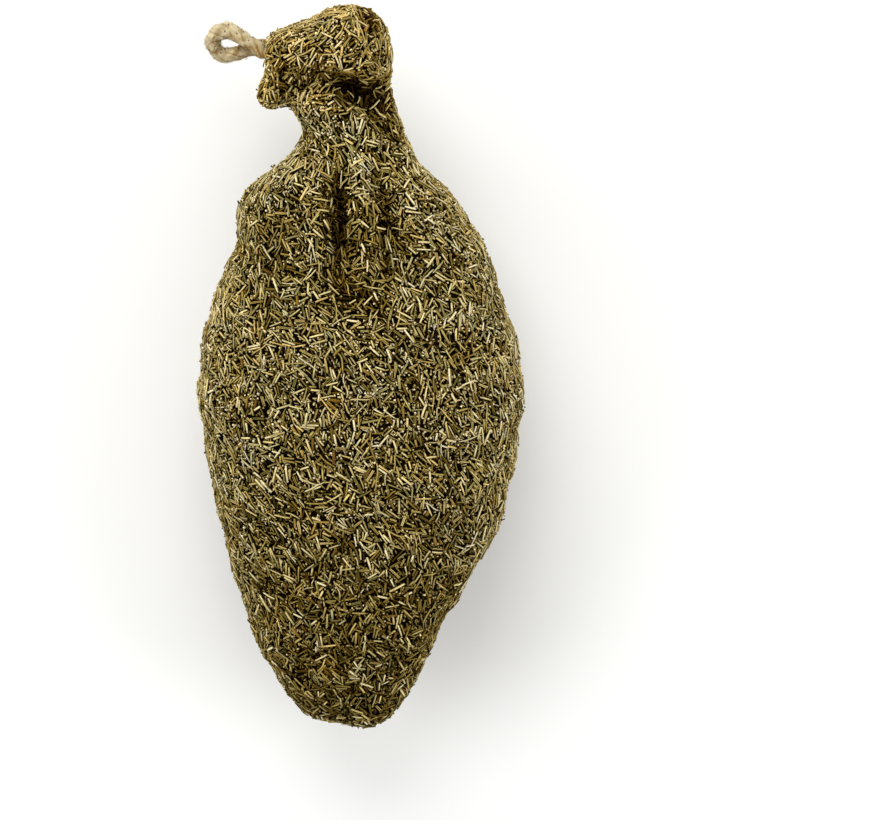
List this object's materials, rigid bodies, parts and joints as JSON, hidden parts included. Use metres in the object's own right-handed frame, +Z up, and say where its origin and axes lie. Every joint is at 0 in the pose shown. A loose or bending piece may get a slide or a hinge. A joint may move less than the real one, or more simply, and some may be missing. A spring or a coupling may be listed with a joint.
{
  "type": "herb-crusted dry-cured ham",
  "caption": "Whole boneless dry-cured ham in a crust of dried herbs, tapering to a blunt tip, with a gathered neck, a folded-over end and a twine loop.",
  "frame": {"origin": "middle of the ham's footprint on the surface that it lies on, at the height of that surface", "axes": "+Y runs along the ham from the blunt tip to the tied end, +Z goes up through the shown side, +X is to the right of the shown side with the tied end away from the viewer"},
  "size_m": [0.1462, 0.323, 0.1109],
  "materials": {
    "herb_crust": "dry, matt crust of straw, olive and dark cut herb leaves with dark gaps between them",
    "twine": "soft undyed natural-fibre twine, matt, with a few dark specks"
  },
  "bodies": {
    "root": {"ham": "herb_crust", "twine_loop": "twine"}
  },
  "joints": []
}
